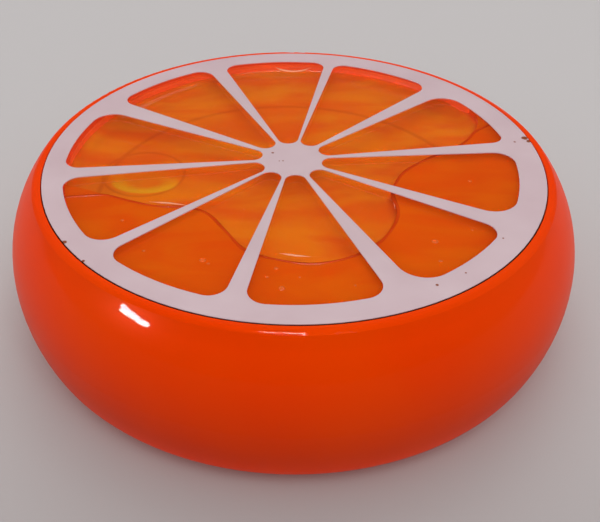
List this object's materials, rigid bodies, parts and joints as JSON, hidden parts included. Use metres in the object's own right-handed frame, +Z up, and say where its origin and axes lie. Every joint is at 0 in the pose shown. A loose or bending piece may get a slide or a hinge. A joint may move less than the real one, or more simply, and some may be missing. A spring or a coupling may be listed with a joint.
{
  "type": "fruit-slice gel puck",
  "caption": "Round barrel-sided translucent orange puck of gel, with a clear press-in lid that carries a white citrus-slice print over an air pocket.",
  "frame": {"origin": "centre of the foot, on the surface that the puck stands on", "axes": "+Z up, out through the printed lid; -Y is the front, where the maker's mark would be"},
  "size_m": [0.0764, 0.0764, 0.0222],
  "materials": {
    "tinted_shell": "translucent orange-red tinted plastic, moulded to a high gloss",
    "gasket": "dark red-brown soft rubber, matt",
    "clear_lid": "clear polished plastic",
    "white_ink": "opaque white screen-printed ink, satin, lightly worn",
    "gel": "translucent orange-amber gel, wet and glossy"
  },
  "bodies": {
    "pot": {"outer_shell": "tinted_shell", "lid_gasket": "gasket", "gel_fill": "gel"},
    "lid": {"window_lid": "clear_lid", "pith_print": "white_ink"}
  },
  "joints": [
    {"name": "lid_lift", "type": "slide", "parent": "pot", "child": "lid", "axis": [0, 0, 1], "range_m": [0, 0.03]}
  ]
}
